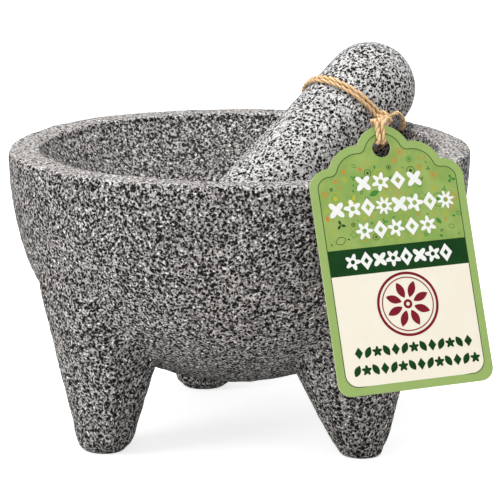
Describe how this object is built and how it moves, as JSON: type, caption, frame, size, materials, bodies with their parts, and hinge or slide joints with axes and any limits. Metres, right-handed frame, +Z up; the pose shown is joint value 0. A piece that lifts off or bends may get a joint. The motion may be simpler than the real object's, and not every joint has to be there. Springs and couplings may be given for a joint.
{
  "type": "molcajete mortar and pestle",
  "caption": "Footed round mortar of rough vesicular basalt with a loose round-ended stone pestle, jute twine tied round the pestle and a scalloped hang tag.",
  "frame": {"origin": "on the ground plane under the middle of the bowl: the centre of the stone pieces' bounding box, at the feet", "axes": "+Z up, -Y towards the front, where two of the three feet stand; +X to the right seen from the front"},
  "size_m": [0.2067, 0.2282, 0.1679],
  "materials": {
    "basalt_mortar": "rough pecked vesicular basalt, matt, dark pores and pale mineral flecks, rim rubbed lighter",
    "basalt_pestle": "finer and paler vesicular basalt, matt, smooth ground surface with dark pores",
    "jute_twine": "natural jute twine, plied, dull, slightly hairy",
    "printed_card": "printed uncoated card with a pale cut edge"
  },
  "bodies": {
    "mortar": {"mortar": "basalt_mortar"},
    "pestle": {"pestle": "basalt_pestle", "twine_band_upper": "jute_twine", "twine_band_lower": "jute_twine", "twine_knot": "jute_twine", "twine_tail": "jute_twine"},
    "hanger": {"twine_hanger_left": "jute_twine", "twine_hanger_right": "jute_twine"},
    "tag": {"hang_tag": "printed_card"}
  },
  "joints": [
    {"name": "pestle_lift", "type": "slide", "parent": "mortar", "child": "pestle", "axis": [0, 0, 1], "range_m": [0, 0.15]},
    {"name": "hanger_swing", "type": "hinge", "parent": "pestle", "child": "hanger", "pos_m": [0.06604, 0.0245, 0.13576], "axis": [-0.9978, 0.0664, 0], "range_deg": [0, 60]},
    {"name": "tag_swing", "type": "hinge", "parent": "hanger", "child": "tag", "pos_m": [0.05875, -0.0851, 0.14111], "axis": [0.2747, -0.8986, 0.342], "range_deg": [-20, 20]}
  ]
}
